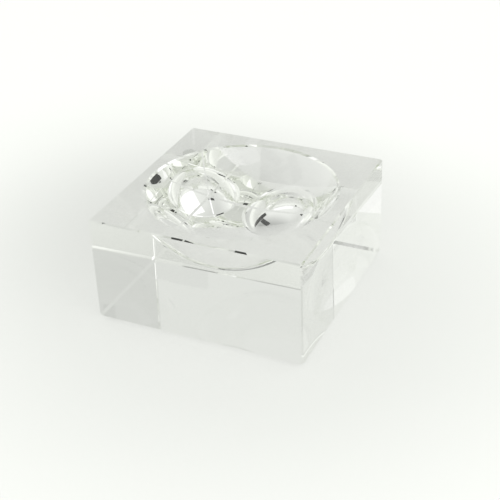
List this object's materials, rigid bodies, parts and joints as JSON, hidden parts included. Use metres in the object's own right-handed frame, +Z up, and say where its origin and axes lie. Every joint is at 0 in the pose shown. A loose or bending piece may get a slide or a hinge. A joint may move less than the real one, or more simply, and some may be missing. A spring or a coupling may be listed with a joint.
{
  "type": "clear display block",
  "caption": "Low square clear glass block with a round bowl ground into its top, standing on small clear pads.",
  "frame": {"origin": "middle of the plane that the pads stand on", "axes": "+Z up through the middle of the bowl; the block's sides face X and Y"},
  "size_m": [0.1, 0.1, 0.0522],
  "materials": {
    "crystal_glass": "ground and polished, clear, with a faint warm green tint",
    "clear_pad": "clear soft polyurethane, moulded, slightly dull"
  },
  "bodies": {
    "root": {"block": "crystal_glass", "pad_front_left": "clear_pad", "pad_front_right": "clear_pad", "pad_rear_left": "clear_pad", "pad_rear_right": "clear_pad"}
  },
  "joints": []
}
